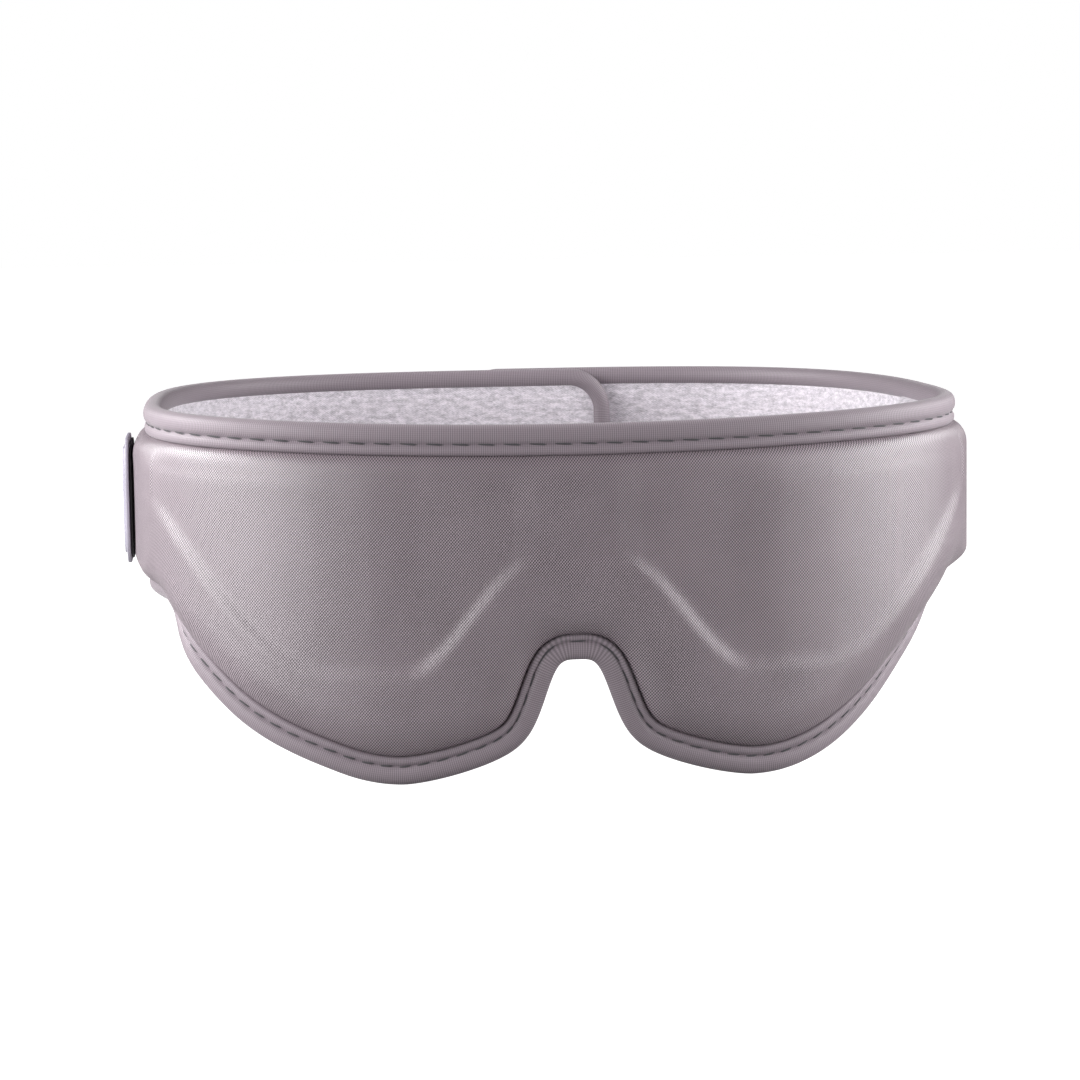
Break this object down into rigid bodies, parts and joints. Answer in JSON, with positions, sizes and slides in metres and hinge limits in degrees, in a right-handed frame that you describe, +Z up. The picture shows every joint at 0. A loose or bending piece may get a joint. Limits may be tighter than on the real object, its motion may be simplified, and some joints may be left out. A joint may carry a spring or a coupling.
{
  "type": "eye massager mask",
  "caption": "Wrap-around vibrating eye mask with a padded front, nose notch, control pod on one temple and bound straps that close with hook and loop at the back.",
  "frame": {"origin": "middle of the head opening in plan, where the nose line meets the widest line of the ring, at the height of the lowest point of the two cheek lobes", "axes": "+Z up along the wearer's head, the front of the mask faces -Y, the fastening at the back of the head is on +Y, and the control pod is on the -X temple"},
  "size_m": [0.2093, 0.19, 0.0865],
  "materials": {
    "mauve_twill": "satin",
    "mauve_tape": "satin",
    "heather_jersey": "matte",
    "foam": "matte",
    "frame_plastic": "matte",
    "black_plastic": "satin",
    "silver_plastic": "satin",
    "pearl_plastic": "gloss",
    "circuit_board": "satin",
    "steel": "satin",
    "weight_metal": "satin",
    "polyimide": "satin",
    "cell_foil": "satin",
    "silicone": "matte",
    "fastening_nylon": "matte"
  },
  "bodies": {
    "mask": {"front_cover": "mauve_twill", "face_lining": "heather_jersey", "face_pad": "foam", "bottom_binding": "mauve_tape", "top_binding": "mauve_tape", "carrier_frame": "frame_plastic", "flex_cable": "polyimide", "motor_can_1": "steel", "motor_base_1": "black_plastic", "motor_can_2": "steel", "motor_base_2": "black_plastic", "motor_can_3": "steel", "motor_base_3": "black_plastic", "motor_can_4": "steel", "motor_base_4": "black_plastic", "control_tray": "black_plastic", "main_board": "circuit_board", "power_switch": "black_plastic", "mode_switch": "black_plastic", "pod_base": "black_plastic", "pod_bezel": "silver_plastic", "pod_face": "pearl_plastic", "pod_screw_1": "steel", "pod_screw_2": "steel", "status_led": "pearl_plastic", "charge_socket": "steel", "battery_tray": "black_plastic", "battery_cell": "cell_foil", "battery_lid": "black_plastic"},
    "outer_strap_front": {"outer_strap_front_band": "mauve_twill", "outer_strap_front_lining": "heather_jersey", "outer_strap_front_top_binding": "mauve_tape", "outer_strap_front_bottom_binding": "mauve_tape"},
    "outer_strap_tail": {"outer_strap_tail_band": "mauve_twill", "outer_strap_tail_lining": "heather_jersey", "outer_strap_tail_binding": "mauve_tape", "hook_patch": "fastening_nylon"},
    "inner_strap_front": {"inner_strap_front_band": "mauve_twill", "inner_strap_front_lining": "heather_jersey", "inner_strap_front_top_binding": "mauve_tape", "inner_strap_front_bottom_binding": "mauve_tape"},
    "inner_strap_tail": {"inner_strap_tail_band": "mauve_twill", "inner_strap_tail_lining": "heather_jersey", "inner_strap_tail_binding": "mauve_tape", "loop_patch": "fastening_nylon"},
    "weight_1": {"motor_weight_1": "weight_metal"},
    "weight_2": {"motor_weight_2": "weight_metal"},
    "weight_3": {"motor_weight_3": "weight_metal"},
    "weight_4": {"motor_weight_4": "weight_metal"},
    "power_key": {"power_button": "pearl_plastic"},
    "mode_key": {"mode_button": "pearl_plastic"},
    "flap": {"port_flap": "silicone"}
  },
  "joints": [
    {"name": "outer_strap_open", "type": "hinge", "parent": "mask", "child": "outer_strap_front", "pos_m": [0.09975, 0.0347, 0.062], "axis": [0, 0, -1], "range_deg": [0, 65]},
    {"name": "outer_tail_bend", "type": "hinge", "parent": "outer_strap_front", "child": "outer_strap_tail", "pos_m": [0.07825, 0.09426, 0.062], "axis": [0, 0, -1], "range_deg": [0, 32.5]},
    {"name": "inner_strap_open", "type": "hinge", "parent": "mask", "child": "inner_strap_front", "pos_m": [-0.09975, 0.0347, 0.062], "axis": [0, 0, 1], "range_deg": [0, 19.5]},
    {"name": "inner_tail_bend", "type": "hinge", "parent": "inner_strap_front", "child": "inner_strap_tail", "pos_m": [-0.0759, 0.09194, 0.062], "axis": [0, 0, 1], "range_deg": [0, 13]},
    {"name": "power_key_press", "type": "slide", "parent": "mask", "child": "power_key", "axis": [1, -0.0002, 0], "range_m": [0, 0.00045], "stiffness_N_per_m": 400},
    {"name": "mode_key_press", "type": "slide", "parent": "mask", "child": "mode_key", "axis": [1, -0.0002, 0], "range_m": [0, 0.00045], "stiffness_N_per_m": 400},
    {"name": "port_flap_open", "type": "hinge", "parent": "mask", "child": "flap", "pos_m": [-0.1056, 0.01198, 0.0621], "axis": [0, 0, -1], "range_deg": [0, 110]},
    {"name": "weight_1_spin", "type": "hinge", "parent": "mask", "child": "weight_1", "pos_m": [-0.07066, -0.05695, 0.06], "axis": [-0.4439, -0.8961, 0], "continuous": true},
    {"name": "weight_2_spin", "type": "hinge", "parent": "mask", "child": "weight_2", "pos_m": [-0.02499, -0.06659, 0.065], "axis": [-0.048, -0.9988, 0], "continuous": true},
    {"name": "weight_3_spin", "type": "hinge", "parent": "mask", "child": "weight_3", "pos_m": [0.02499, -0.06659, 0.065], "axis": [0.048, -0.9988, 0], "continuous": true},
    {"name": "weight_4_spin", "type": "hinge", "parent": "mask", "child": "weight_4", "pos_m": [0.07066, -0.05695, 0.06], "axis": [0.4439, -0.8961, 0], "continuous": true}
  ],
  "couplings": [
    {"joint": "outer_tail_bend", "follows": "outer_strap_open", "ratio": 0.5},
    {"joint": "inner_strap_open", "follows": "outer_strap_open", "ratio": 0.3},
    {"joint": "inner_tail_bend", "follows": "outer_strap_open", "ratio": 0.2}
  ]
}
